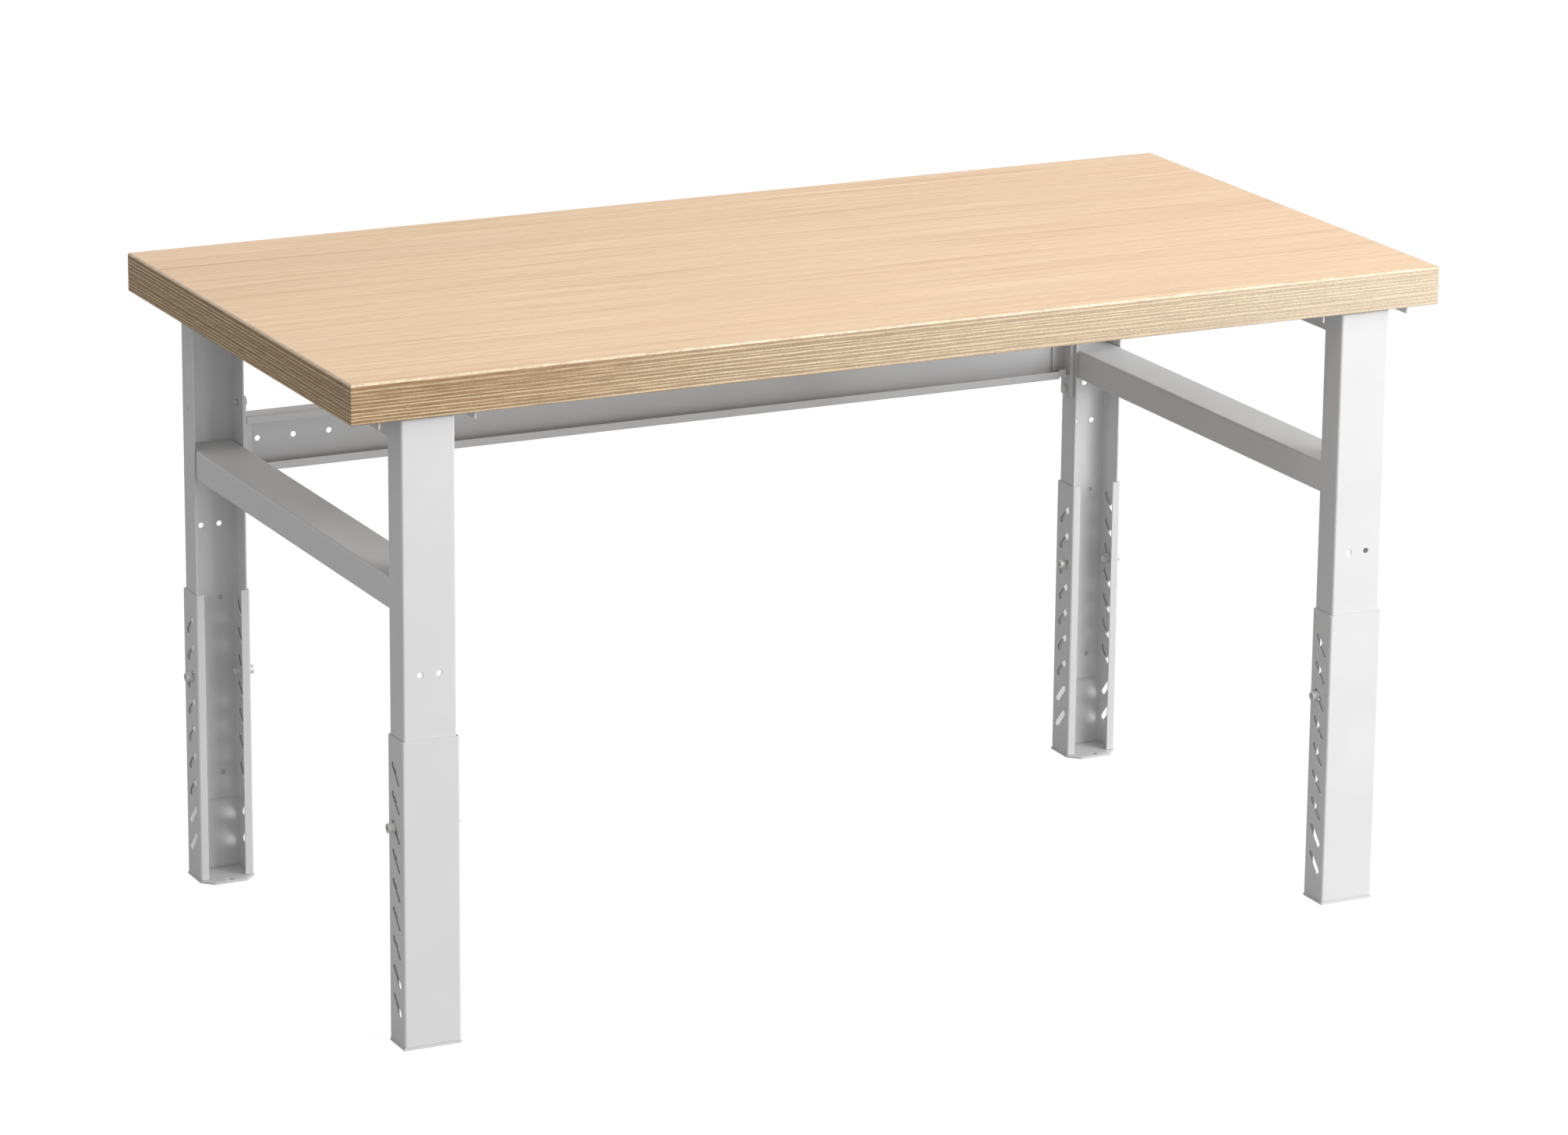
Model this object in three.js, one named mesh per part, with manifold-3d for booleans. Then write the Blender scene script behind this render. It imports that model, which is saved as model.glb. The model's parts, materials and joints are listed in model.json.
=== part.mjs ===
// A height-adjustable workbench: a laminated wood top on four telescoping sheet-steel legs.
//
// Millimetres, +X to the right along the long side, +Y to the back, +Z up.
// The origin is on the floor, under the middle of the worktop.
//
// Each leg is an upper channel inside a lower sleeve. Both have a ladder of diagonal slots in
// their two flanges, and the two ladders lean opposite ways. A clamp bolt goes through the place
// where two slots cross, so the height is set without steps along the length of a slot.

import * as THREE from "three";
import { mergeVertices } from "three/addons/utils/BufferGeometryUtils.js";
import Module from "manifold-3d";

// ---------------------------------------------------------------- driving dimensions

const TOP = { width: 1500, depth: 750, thickness: 50, height: 845, edgeRadius: 3 };

const GAP = 0.3; // left between pieces that touch
const RUNNING = 0.6; // play between the sleeve and the channel inside it
const NESTED = 0.5; // left around a piece that is welded inside a bent channel, clear of the bends

const CHANNEL = {
  width: 70, // across the web
  depth: 40, // web face to the open edges
  sheet: 2,
  bend: 3.2, // outer bend radius
  bottom: 100, // height of the lower end above the floor
  endInset: 67, // from the worktop's short edge to the leg's outer face
  faceInset: 9, // from the worktop's long edge to the leg's web
};

const SLEEVE = { top: 393, sheet: 2, lip: 12, bend: 3.2, depth: 46, count: 9, topSlot: 348 };

// One slot's centre line runs RUN across the flange while it climbs RISE.
const SLOT = { run: 16.5, rise: 18.5, width: 8.6, pitch: 37 };
const CHANNEL_SLOTS = 7;
const CROSSING_ABOVE_MIDDLE = 5; // the clamp bolt stands this far above its sleeve slot's middle
const CLAMPED_SLOT = 2; // the bolt is in the third sleeve slot from the top

const FOOT = { thickness: 3, proud: 0.4, reach: 14.4, corner: 15, hole: 10 };

const CROSSBAR = { top: 587, height: 40, sheet: 2, bend: 4 };

const TOP_PLATE = { sheet: 2.5, bend: 3.5, overhang: 28, lip: 10.5, frontInset: 1 };
const TOP_RAIL = { depth: 29.6, sheet: 2.5, bend: 3.5 };

const BEAM = {
  height: 76,
  depth: 28,
  sheet: 2,
  lip: 11,
  bend: 3,
  middle: 585.5, // height of its middle above the floor
  notch: 16.5, // the lower flange stops this far short of each end
  hole: 7.5,
  holeCount: 3, // in the web near the left end
  holePitch: 50,
  firstHole: -582.5,
};
const BRACKET = {
  height: 129,
  offset: 5.4, // its plate stands this far off the leg
  sheet: 2,
  bend: 2.4,
  arm: 16, // reaches this far into the beam
  armPlay: 0.7,
  armLip: 10,
  armLipRelief: 5.3, // the arm's front lip stops this far short of the plate
  holeSpan: 109,
  hole: 6.6,
};

const PAIR_HOLES = { height: 475, span: 25, diameter: 7 }; // side by side in every upper leg's web
const LOCK_HOLES = { heights: [135, 375], diameter: 6 }; // pairs below, as far apart
const PANEL_HOLE = { height: 530, diameter: 8 }; // in the rear legs only
const FLANGE_HOLE_DIAMETER = 8; // for the beam brackets, in both flanges of the rear legs

const CLAMP = {
  shank: 8, head: 12, headHeight: 9, socket: 6, socketDepth: 4,
  tip: 12, // the shank ends this far inside the channel's flange
  nut: 13, nutHeight: 6.5,
};
const BRACKET_BOLT = { shank: 6, head: 10, headHeight: 4, tip: 4, nut: 10, nutHeight: 2.8 };
const TOP_SCREW = {
  shank: 6, head: 10, headHeight: 4, length: 34,
  spare: 2, // its hole in the worktop is this much deeper
  rows: [-250, 250], sideOffset: 48,
};

const ROUND = 12; // facets of a drilled hole or a shank
const HEAD_ROUND = 20; // facets of a screw head
const SLOT_END = 4; // facets of a slot's half-round end
const BEND_STEPS = 3; // facets of a sheet bend
const EDGE_STEPS = 2; // facets of the worktop's rounded edges

// ---------------------------------------------------------------- derived places

const legX = TOP.width / 2 - CHANNEL.endInset - CHANNEL.width / 2;
const webY = TOP.depth / 2 - CHANNEL.faceInset;
const underside = TOP.height - TOP.thickness;
const slotSlope = SLOT.rise / SLOT.run;

const sleeveSide = CHANNEL.width / 2 + RUNNING + SLEEVE.sheet; // half the sleeve's outer width
const sleeveWeb = -(RUNNING + SLEEVE.sheet); // its web face, behind which the channel's web starts
const slotMiddle = sleeveWeb + SLEEVE.depth / 2; // distance of every slot's middle from the channel's web

const clampedHeight = SLEEVE.topSlot - CLAMPED_SLOT * SLOT.pitch;
const crossingHeight = clampedHeight + CROSSING_ABOVE_MIDDLE;
const crossingDepth = slotMiddle + CROSSING_ABOVE_MIDDLE / slotSlope;
// The channel's slots climb the other way, so the crossing is as far below its slot's middle.
const channelTopSlot = crossingHeight + CROSSING_ABOVE_MIDDLE + CLAMPED_SLOT * SLOT.pitch;

const bracketFace = legX - CHANNEL.width / 2 - GAP - BRACKET.offset; // |x| of the brackets' inner faces
const beamMiddleY = webY - CHANNEL.depth / 2;

const SIDES = { left: -1, right: 1 };
const ENDS = { front: -1, rear: 1 };

// ---------------------------------------------------------------- materials

const paint = new THREE.MeshStandardMaterial({ color: 0xc9cacb, roughness: 0.55, metalness: 0.1 });
const zinc = new THREE.MeshStandardMaterial({ color: 0xb4b4b2, roughness: 0.35, metalness: 0.9 });
const wood = new THREE.MeshStandardMaterial({ color: 0xdcc0a0, roughness: 0.6, metalness: 0 });

// ---------------------------------------------------------------- solids and booleans

const wasm = await Module();
wasm.setup();

function toSolid(geometry) {
  const bare = geometry.clone();
  bare.deleteAttribute("normal");
  bare.deleteAttribute("uv");
  const merged = mergeVertices(bare);
  const vertProperties = new Float32Array(merged.attributes.position.array);
  const triVerts = new Uint32Array(merged.index.array);
  return new wasm.Manifold(new wasm.Mesh({ numProp: 3, vertProperties, triVerts }));
}

function toGeometry(solid) {
  const mesh = solid.getMesh();
  const geometry = new THREE.BufferGeometry();
  geometry.setAttribute("position", new THREE.BufferAttribute(new Float32Array(mesh.vertProperties), 3));
  geometry.setIndex(new THREE.BufferAttribute(new Uint32Array(mesh.triVerts), 1));
  geometry.computeVertexNormals();
  return geometry;
}

function cut(geometry, cutters) {
  return toGeometry(cutters.reduce((solid, cutter) => solid.subtract(toSolid(cutter)), toSolid(geometry)));
}

function join(geometries) {
  const [first, ...rest] = geometries.map(toSolid);
  return toGeometry(rest.reduce((solid, other) => solid.add(other), first));
}

// A prism standing on z = 0, from a closed outline of [x, y] points.
function prism(outline, length, holes = []) {
  const shape = new THREE.Shape(outline.map(([x, y]) => new THREE.Vector2(x, y)));
  for (const hole of holes) {
    shape.holes.push(new THREE.Path(hole.map(([x, y]) => new THREE.Vector2(x, y))));
  }
  return new THREE.ExtrudeGeometry(shape, { depth: length, bevelEnabled: false });
}

// A box from its two extreme corners.
function block([x0, y0, z0], [x1, y1, z1]) {
  const box = new THREE.BoxGeometry(x1 - x0, y1 - y0, z1 - z0);
  return box.translate((x0 + x1) / 2, (y0 + y1) / 2, (z0 + z1) / 2);
}

// A cylinder or hexagon along X, from x0 to x1.
function barAlongX(radius, x0, x1, facets, y = 0, z = 0) {
  const bar = new THREE.CylinderGeometry(radius, radius, x1 - x0, facets);
  return bar.rotateZ(-Math.PI / 2).translate((x0 + x1) / 2, y, z);
}

function barAlongY(radius, y0, y1, facets, x = 0, z = 0) {
  return new THREE.CylinderGeometry(radius, radius, y1 - y0, facets).translate(x, (y0 + y1) / 2, z);
}

function barAlongZ(radius, z0, z1, facets, x = 0, y = 0) {
  const bar = new THREE.CylinderGeometry(radius, radius, z1 - z0, facets);
  return bar.rotateX(Math.PI / 2).translate(x, y, (z0 + z1) / 2);
}

// Turns a prism so that its outline's x and y lie along Y and Z, and its length along X.
function layAlongX(geometry) {
  return geometry.rotateX(Math.PI / 2).rotateZ(Math.PI / 2);
}

// Turns a prism so that its outline's x and y lie along X and Z, and its length runs to -Y.
function layAlongY(geometry) {
  return geometry.rotateX(Math.PI / 2);
}

// The radius that gives a hexagon this size across its flats.
function hexRadius(acrossFlats) {
  return acrossFlats / Math.sqrt(3);
}

// ---------------------------------------------------------------- sheet-metal sections

// The closed outline of a bent sheet: a path along its outer face, and back along its inner face.
// Each corner of the path turns left, and is bent at the outer radius given.
function bentSheet(path, sheet, bend) {
  const outer = [];
  const inner = [];
  path.forEach((point, i) => {
    const before = i > 0 ? direction(path[i - 1], point) : direction(point, path[i + 1]);
    const after = i < path.length - 1 ? direction(point, path[i + 1]) : before;
    if (i === 0 || i === path.length - 1) {
      outer.push(point);
      inner.push(offset(point, before, sheet));
      return;
    }
    const centre = [
      point[0] + bend * (after[0] - before[0]),
      point[1] + bend * (after[1] - before[1]),
    ];
    for (let step = 0; step <= BEND_STEPS; step += 1) {
      const angle = (step / BEND_STEPS) * (Math.PI / 2);
      const out = [
        -after[0] * Math.cos(angle) + before[0] * Math.sin(angle),
        -after[1] * Math.cos(angle) + before[1] * Math.sin(angle),
      ];
      outer.push([centre[0] + bend * out[0], centre[1] + bend * out[1]]);
      inner.push([centre[0] + (bend - sheet) * out[0], centre[1] + (bend - sheet) * out[1]]);
    }
  });
  return [...outer, ...inner.reverse()];
}

function direction([x0, y0], [x1, y1]) {
  const length = Math.hypot(x1 - x0, y1 - y0);
  return [(x1 - x0) / length, (y1 - y0) / length];
}

// The point moved to the left of its direction of travel, which is the sheet's inner side.
function offset([x, y], [dx, dy], distance) {
  return [x - dy * distance, y + dx * distance];
}

// A rectangle with rounded corners about the origin, from its half sizes, counter-clockwise.
function roundedRectangle(halfWidth, halfHeight, radius) {
  const x = halfWidth - radius;
  const y = halfHeight - radius;
  const corners = [[-x, -y, Math.PI], [x, -y, -Math.PI / 2], [x, y, 0], [-x, y, Math.PI / 2]];
  return corners.flatMap(([cx, cy, start]) => arc(cx, cy, radius, start, start + Math.PI / 2, BEND_STEPS));
}

function arc(cx, cy, radius, from, to, steps) {
  return Array.from({ length: steps + 1 }, (_, i) => {
    const angle = from + ((to - from) * i) / steps;
    return [cx + radius * Math.cos(angle), cy + radius * Math.sin(angle)];
  });
}

// ---------------------------------------------------------------- slots

// A cutter along X for one diagonal slot, with its middle at (slotMiddle, z).
// lean is +1 where the slot's upper end is away from the web, and -1 where it is near it.
function slotCutter(z, lean) {
  const angle = Math.atan2(SLOT.rise, lean * SLOT.run);
  const half = Math.hypot(SLOT.run, SLOT.rise) / 2;
  const radius = SLOT.width / 2;
  const outline = [
    ...arc(half, 0, radius, -Math.PI / 2, Math.PI / 2, SLOT_END),
    ...arc(-half, 0, radius, Math.PI / 2, (3 * Math.PI) / 2, SLOT_END),
  ];
  const length = 4 * CHANNEL.width;
  const cutter = prism(outline, length).translate(0, 0, -length / 2).rotateZ(angle);
  return layAlongX(cutter).translate(0, slotMiddle, z);
}

function slotLadder(topHeight, count, lean) {
  return Array.from({ length: count }, (_, i) => slotCutter(topHeight - i * SLOT.pitch, lean));
}

// ---------------------------------------------------------------- the leg
// Leg pieces are drawn with the channel's web face at y = 0 and its open side toward +Y.

function upperLeg(isRear) {
  const { width, depth, sheet, bend, bottom } = CHANNEL;
  const top = underside - TOP_PLATE.sheet - GAP;
  const section = bentSheet(
    [[-width / 2, depth], [-width / 2, 0], [width / 2, 0], [width / 2, depth]], sheet, bend,
  );
  const channel = prism(section, top - bottom).translate(0, 0, bottom);
  const through = sheet * 2;
  const webHole = (diameter, x, z) => barAlongY(diameter / 2, -through, through, ROUND, x, z);
  const webPair = (diameter, z) => [-1, 1].map((side) => webHole(diameter, (side * PAIR_HOLES.span) / 2, z));
  const webHoles = [
    ...webPair(PAIR_HOLES.diameter, PAIR_HOLES.height),
    ...LOCK_HOLES.heights.flatMap((z) => webPair(LOCK_HOLES.diameter, z)),
  ];
  const rearHoles = [
    webHole(PANEL_HOLE.diameter, 0, PANEL_HOLE.height),
    ...[-1, 1].map((end) => barAlongX(
      FLANGE_HOLE_DIAMETER / 2, -width, width, ROUND, depth / 2, BEAM.middle + (end * BRACKET.holeSpan) / 2,
    )),
  ];
  const slots = slotLadder(channelTopSlot, CHANNEL_SLOTS, -1);
  return cut(channel, [...slots, ...webHoles, ...(isRear ? rearHoles : [])]);
}

function lowerSleeve() {
  const { top, sheet, lip, bend, depth, count, topSlot } = SLEEVE;
  const bottom = FOOT.thickness + GAP;
  const open = sleeveWeb + depth;
  const section = bentSheet(
    [
      [-sleeveSide + lip, open], [-sleeveSide, open], [-sleeveSide, sleeveWeb],
      [sleeveSide, sleeveWeb], [sleeveSide, open], [sleeveSide - lip, open],
    ], sheet, bend,
  );
  const sleeve = prism(section, top - bottom).translate(0, 0, bottom);
  return cut(sleeve, slotLadder(topSlot, count, 1));
}

function footPlate() {
  const side = sleeveSide + FOOT.proud;
  const back = sleeveWeb - FOOT.proud;
  const front = sleeveWeb + SLEEVE.depth + FOOT.reach;
  const { corner } = FOOT;
  const outline = [
    [-side, back], [side, back], [side, front - corner], [side - corner, front],
    [-side + corner, front], [-side, front - corner],
  ];
  const hole = arc(0, front - FOOT.reach / 2, FOOT.hole / 2, 0, -2 * Math.PI, ROUND).slice(0, ROUND);
  return prism(outline, FOOT.thickness, [hole]);
}

// ---------------------------------------------------------------- the clamp bolts
// Drawn for the flange on the +X side, with the sleeve's outer face at x = sleeveSide.

function clampBolt() {
  const { shank, head, headHeight, socket, socketDepth, tip } = CLAMP;
  const face = sleeveSide + GAP;
  const inner = CHANNEL.width / 2 - CHANNEL.sheet;
  const body = join([
    barAlongX(shank / 2, inner - tip, face + headHeight / 2, ROUND),
    barAlongX(head / 2, face, face + headHeight, HEAD_ROUND),
  ]);
  return cut(body, [barAlongX(hexRadius(socket), face + headHeight - socketDepth, face + headHeight + 1, 6)]);
}

function clampNut() {
  const inner = CHANNEL.width / 2 - CHANNEL.sheet - GAP;
  const nut = barAlongX(hexRadius(CLAMP.nut), inner - CLAMP.nutHeight, inner, 6);
  return cut(nut, [barAlongX(CLAMP.shank / 2 + GAP / 2, inner - CLAMP.nutHeight - 1, inner + 1, ROUND)]);
}

// ---------------------------------------------------------------- the side frame
// Drawn with the side frame's middle plane at x = 0, and y = 0 halfway between the legs.

function crossbar() {
  const half = CHANNEL.width / 2 - CHANNEL.sheet - NESTED;
  const { height, sheet, bend } = CROSSBAR;
  const length = 2 * (webY - CHANNEL.sheet - NESTED);
  const outer = roundedRectangle(half, height / 2, bend);
  const inner = roundedRectangle(half - sheet, height / 2 - sheet, bend - sheet);
  const tube = prism(outer, length, [inner.reverse()]).translate(0, 0, -length / 2);
  return layAlongY(tube).translate(0, 0, CROSSBAR.top - height / 2);
}

function topPlate() {
  const { sheet, bend, overhang, lip, frontInset } = TOP_PLATE;
  const side = CHANNEL.width / 2 + overhang;
  const length = 2 * (webY - frontInset);
  const section = bentSheet([[side, -lip], [side, 0], [-side, 0], [-side, -lip]], sheet, bend);
  const plate = layAlongY(prism(section, length).translate(0, 0, -length / 2));
  plate.translate(0, 0, underside - GAP);
  const holes = screwPlaces().map(([x, y]) => barAlongZ(
    TOP_SCREW.shank / 2 + GAP, underside - 3 * sheet, underside + sheet, ROUND, x, y,
  ));
  return cut(plate, holes);
}

// A channel that opens downward, between the webs of the two legs.
function topRail() {
  const side = CHANNEL.width / 2 - CHANNEL.sheet - NESTED;
  const { depth, sheet, bend } = TOP_RAIL;
  const length = 2 * (webY - CHANNEL.sheet - NESTED);
  const section = bentSheet([[side, -depth], [side, 0], [-side, 0], [-side, -depth]], sheet, bend);
  const rail = layAlongY(prism(section, length).translate(0, 0, -length / 2));
  return rail.translate(0, 0, underside - TOP_PLATE.sheet - 2 * GAP);
}

function screwPlaces() {
  return [-1, 1].flatMap((side) => TOP_SCREW.rows.map((y) => [side * TOP_SCREW.sideOffset, y]));
}

function topScrew() {
  const { shank, head, headHeight, length } = TOP_SCREW;
  const seat = underside - TOP_PLATE.sheet - 2 * GAP;
  return join([
    barAlongZ(hexRadius(head), seat - headHeight, seat, 6),
    barAlongZ(shank / 2, seat - headHeight / 2, seat + length, ROUND),
  ]);
}

// ---------------------------------------------------------------- the rear beam

// Its web is at the back and its open side faces the front.
function rearBeam() {
  const { height, depth, sheet, lip, bend, notch, middle } = BEAM;
  const half = bracketFace - GAP;
  const [front, rear, low, high] = [-depth / 2, depth / 2, -height / 2, height / 2];
  const section = bentSheet(
    [
      [front, low + lip], [front, low], [rear, low],
      [rear, high], [front, high], [front, high - lip],
    ], sheet, bend,
  );
  const beam = layAlongX(prism(section, 2 * half).translate(0, 0, -half)).translate(0, beamMiddleY, middle);
  const webFace = beamMiddleY + rear;
  const notches = [-1, 1].map((side) => {
    const ends = [side * (half - notch), side * (half + 1)].sort((p, q) => p - q);
    return block(
      [ends[0], beamMiddleY + 2 * front, middle + 2 * low],
      [ends[1], webFace - bend, middle + low + lip + 1],
    );
  });
  const holes = Array.from({ length: BEAM.holeCount }, (_, i) => barAlongY(
    BEAM.hole / 2, webFace - 3 * sheet, webFace + sheet, ROUND, BEAM.firstHole + i * BEAM.holePitch, middle,
  ));
  return cut(beam, [...notches, ...holes]);
}

// Drawn for the +X end: a shallow channel bolted to the leg, and a short C that carries the beam.
function beamBracket() {
  const { height, offset: rise, sheet, bend, holeSpan, hole } = BRACKET;
  const side = BEAM.depth / 2;
  const section = bentSheet([[rise, side], [0, side], [0, -side], [rise, -side]], sheet, bend);
  const plate = prism(section, height).translate(bracketFace, beamMiddleY, BEAM.middle - height / 2);
  const holes = [-1, 1].map((end) => barAlongX(
    hole / 2, bracketFace - 2 * sheet, bracketFace + 2 * sheet, ROUND, beamMiddleY,
    BEAM.middle + (end * holeSpan) / 2,
  ));
  return cut(join([plate, ...armWalls()]), holes);
}

// The four walls of the bracket's arm: rear, top, bottom and the lip that hooks behind the beam's own lip.
function armWalls() {
  const { sheet, arm, armPlay, armLip, armLipRelief } = BRACKET;
  const inset = BEAM.sheet + armPlay;
  const [low, high] = [-1, 1].map((end) => BEAM.middle + end * (BEAM.height / 2 - inset));
  const [front, back] = [-1, 1].map((end) => beamMiddleY + end * (BEAM.depth / 2 - inset));
  const tip = bracketFace - arm;
  const root = bracketFace + sheet / 2;
  return [
    block([tip, back - sheet, low], [root, back, high]),
    block([tip, front, high - sheet], [root, back, high]),
    block([tip, front, low], [root, back, low + sheet]),
    block([tip, front, low], [bracketFace - armLipRelief, front + sheet, low + armLip]),
  ];
}

// Drawn for the +X end: the head is on the bracket's inner face and the tip is inside the leg.
function bracketBolt() {
  const { shank, head, headHeight, tip } = BRACKET_BOLT;
  const face = bracketFace - GAP;
  const inside = bracketFace + BRACKET.offset + GAP + CHANNEL.sheet;
  return join([
    barAlongX(hexRadius(head), face - headHeight, face, 6),
    barAlongX(shank / 2, face - headHeight / 2, inside + tip, ROUND),
  ]);
}

// A thin nut held between the bracket's plate and the leg.
function bracketNut() {
  const { shank, nut, nutHeight } = BRACKET_BOLT;
  const seat = bracketFace + BRACKET.sheet + GAP;
  const body = barAlongX(hexRadius(nut), seat, seat + nutHeight, 6);
  return cut(body, [barAlongX(shank / 2 + GAP / 2, seat - 1, seat + nutHeight + 1, ROUND)]);
}

// ---------------------------------------------------------------- the worktop

function worktop() {
  const { width, depth, thickness, edgeRadius } = TOP;
  const x = width / 2 - edgeRadius;
  const y = depth / 2 - edgeRadius;
  const corners = [[-x, -y], [x, -y], [x, y], [-x, y]].map(([px, py]) => new THREE.Vector2(px, py));
  const slab = new THREE.ExtrudeGeometry(new THREE.Shape(corners), {
    depth: thickness - 2 * edgeRadius,
    bevelEnabled: true,
    bevelThickness: edgeRadius,
    bevelSize: edgeRadius,
    bevelSegments: EDGE_STEPS,
  }).translate(0, 0, underside + edgeRadius);
  const holes = [-1, 1].flatMap((side) => screwPlaces().map(([sx, sy]) => barAlongZ(
    TOP_SCREW.shank / 2 + GAP, underside - 1, underside + TOP_SCREW.length + TOP_SCREW.spare, ROUND,
    side * legX + sx, sy,
  )));
  return cut(slab, holes);
}

// ---------------------------------------------------------------- assembly

const bench = new THREE.Group();

function place(parent, name, geometry, material) {
  const mesh = new THREE.Mesh(geometry, material);
  mesh.name = name;
  parent.add(mesh);
  return mesh;
}

function addLeg(side, end) {
  const leg = new THREE.Group();
  const label = `${end}_${side}`;
  leg.position.set(SIDES[side] * legX, ENDS[end] * webY, 0);
  leg.rotation.z = end === "rear" ? Math.PI : 0;
  place(leg, `upper_leg_${label}`, upperLeg(end === "rear"), paint);
  place(leg, `lower_sleeve_${label}`, lowerSleeve(), paint);
  place(leg, `foot_plate_${label}`, footPlate(), paint);
  // Seen from the leg, the flange that faces the outside of the bench turns with it.
  const outward = SIDES[side] * -ENDS[end];
  for (const [flange, toward] of [["outer", outward], ["inner", -outward]]) {
    const clamp = new THREE.Group();
    clamp.rotation.z = toward < 0 ? Math.PI : 0;
    clamp.position.set(0, crossingDepth, crossingHeight);
    place(clamp, `clamp_bolt_${label}_${flange}`, clampBolt(), zinc);
    place(clamp, `clamp_nut_${label}_${flange}`, clampNut(), zinc);
    leg.add(clamp);
  }
  bench.add(leg);
}

function addSideFrame(side) {
  const frame = new THREE.Group();
  frame.position.x = SIDES[side] * legX;
  place(frame, `crossbar_${side}`, crossbar(), paint);
  place(frame, `top_plate_${side}`, topPlate(), paint);
  place(frame, `top_rail_${side}`, topRail(), paint);
  screwPlaces().forEach(([x, y], i) => {
    place(frame, `top_screw_${side}_${i + 1}`, topScrew(), zinc).position.set(x, y, 0);
  });
  bench.add(frame);
}

function addBeamEnd(side) {
  const end = new THREE.Group();
  end.rotation.z = side === "left" ? Math.PI : 0;
  // A half turn also swaps front and rear, so the group is moved back onto the beam's line.
  end.position.y = side === "left" ? 2 * beamMiddleY : 0;
  const bracket = place(end, `beam_bracket_${side}`, beamBracket(), paint);
  if (side === "left") bracket.geometry = mirroredInY(bracket.geometry);
  for (const [level, sign] of [["lower", -1], ["upper", 1]]) {
    const z = BEAM.middle + (sign * BRACKET.holeSpan) / 2;
    place(end, `bracket_bolt_${side}_${level}`, bracketBolt(), zinc).position.set(0, beamMiddleY, z);
    place(end, `bracket_nut_${side}_${level}`, bracketNut(), zinc).position.set(0, beamMiddleY, z);
  }
  bench.add(end);
}

// The piece reflected front to back about the beam's line, with its faces still pointing out.
function mirroredInY(geometry) {
  const mirrored = geometry.clone();
  const position = mirrored.attributes.position;
  for (let i = 0; i < position.count; i += 1) position.setY(i, 2 * beamMiddleY - position.getY(i));
  const index = mirrored.index;
  for (let i = 0; i < index.count; i += 3) {
    const [a, b] = [index.getX(i), index.getX(i + 1)];
    index.setX(i, b);
    index.setX(i + 1, a);
  }
  mirrored.computeVertexNormals();
  return mirrored;
}

place(bench, "worktop", worktop(), wood);
place(bench, "rear_beam", rearBeam(), paint);
for (const side of Object.keys(SIDES)) {
  addSideFrame(side);
  addBeamEnd(side);
  for (const end of Object.keys(ENDS)) addLeg(side, end);
}

export default bench;
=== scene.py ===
# The looks of a height-adjustable workbench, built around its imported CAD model.
#
# Metres, +X to the right along the long side, +Y to the back, +Z up, origin on the floor.
# Every piece is a finer mesh of the CAD node that it replaces. Its place and its length come
# from that node's box; its section, holes and threads are drawn again here with smooth bends.

import json
import math

import bmesh
import bpy
from mathutils import Matrix, Vector


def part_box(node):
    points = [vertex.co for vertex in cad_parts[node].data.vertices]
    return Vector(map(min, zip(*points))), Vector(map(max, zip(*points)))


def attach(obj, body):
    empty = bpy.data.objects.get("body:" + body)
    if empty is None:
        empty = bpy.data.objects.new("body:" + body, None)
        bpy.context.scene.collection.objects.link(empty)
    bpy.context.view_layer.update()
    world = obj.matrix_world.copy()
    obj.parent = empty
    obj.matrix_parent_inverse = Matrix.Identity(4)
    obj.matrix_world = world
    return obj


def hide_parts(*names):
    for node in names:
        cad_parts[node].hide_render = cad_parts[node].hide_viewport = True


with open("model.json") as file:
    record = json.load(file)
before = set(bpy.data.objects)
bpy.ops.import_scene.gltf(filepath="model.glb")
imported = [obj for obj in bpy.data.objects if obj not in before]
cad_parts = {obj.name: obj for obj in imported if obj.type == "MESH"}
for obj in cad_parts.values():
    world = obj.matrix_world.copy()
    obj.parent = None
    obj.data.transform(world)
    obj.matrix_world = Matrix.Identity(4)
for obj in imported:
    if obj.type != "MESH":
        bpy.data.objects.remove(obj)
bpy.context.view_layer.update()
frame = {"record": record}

# ---------------------------------------------------------------- driving dimensions

MM = 0.001

SHEET = 2.0 * MM
BEND = 3.2 * MM  # outer bend radius of the leg sections
BEND_STEPS = 6
EDGE_ROUND = 0.4 * MM  # softened edges of the sheet metal
RIM_ROUND = 0.95 * MM  # softened rims of its holes and slots
RIM_STEPS = 4
RIM_START = 0.2  # radians from the sheet's face, where the rim's curve begins
SHARP_ANGLE = math.radians(35)

SLOT = {"run": 16.5 * MM, "rise": 18.5 * MM, "width": 8.6 * MM, "pitch": 37 * MM}
SLEEVE_LADDER = {"count": 9, "below_top": 45 * MM, "lean": 1}
CHANNEL_LADDER = {"count": 7, "below_top": 434.2 * MM, "lean": -1}
SLEEVE_LIP = 12 * MM

PAIR_HOLES = {"height": 475 * MM, "span": 25 * MM, "diameter": 7 * MM}
LOCK_HOLES = {"heights": (135 * MM, 375 * MM), "diameter": 6 * MM}
PANEL_HOLE = {"height": 530 * MM, "diameter": 8 * MM}
FLANGE_HOLE_DIAMETER = 8 * MM
HOLE_STEPS = 24
SLOT_END_STEPS = 10

FOOT = {"corner": 15 * MM, "hole": 10 * MM, "hole_inset": 7.2 * MM}
CROSSBAR_BEND = 4 * MM
TOP_SHEET = 2.5 * MM
TOP_BEND = 3.5 * MM
SCREW_HOLE = 6.6 * MM

BEAM = {"lip": 11 * MM, "bend": 3 * MM, "notch": 16.5 * MM}
BEAM_HOLES = {"diameter": 7.5 * MM, "count": 3, "pitch": 50 * MM, "from_left_end": 24.5 * MM}
BRACKET = {"offset": 5.4 * MM, "bend": 2.4 * MM, "arm_play": 0.7 * MM, "lip": 10 * MM,
           "lip_relief": 5.3 * MM, "hole": 6.6 * MM}

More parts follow.
